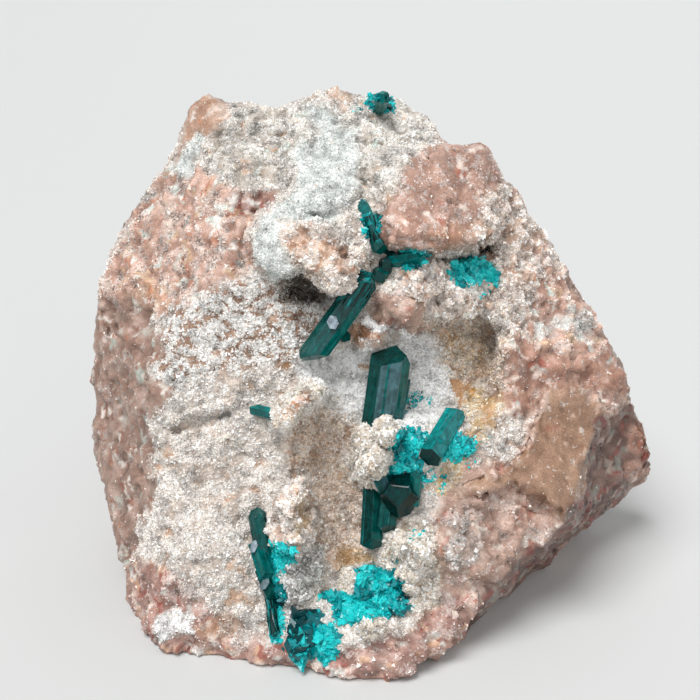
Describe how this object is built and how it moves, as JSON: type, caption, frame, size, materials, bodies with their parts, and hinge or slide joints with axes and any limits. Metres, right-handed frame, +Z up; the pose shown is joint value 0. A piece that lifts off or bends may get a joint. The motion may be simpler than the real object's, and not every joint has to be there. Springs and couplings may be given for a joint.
{
  "type": "dioptase crystals on rock matrix",
  "caption": "Hand-sized mineral specimen: green dioptase prisms and crusts along the hollow of a drusy quartz and feldspar-pink rock that stands on a flat broken base.",
  "frame": {"origin": "middle of the specimen's outer box at the height of its flat base, on the table", "axes": "+Z up, -Y out of the show face that carries the dioptase, +X to the right seen from that side"},
  "size_m": [0.0828, 0.0626, 0.0654],
  "materials": {
    "rock_matrix": "pink-brown rock under white and tan drusy quartz, rough with glassy grains",
    "dioptase": "natural crystal faces, glassy, deep emerald to turquoise green"
  },
  "bodies": {
    "root": {"matrix": "rock_matrix", "crown_crystals": "dioptase", "vein_crystals": "dioptase", "ledge_crystals": "dioptase", "long_prism": "dioptase", "centre_prism": "dioptase", "slanted_prism": "dioptase", "druse_crystals": "dioptase", "blade_crystals": "dioptase", "low_druse": "dioptase", "low_fan": "dioptase", "tiny_crystal": "dioptase"}
  },
  "joints": []
}
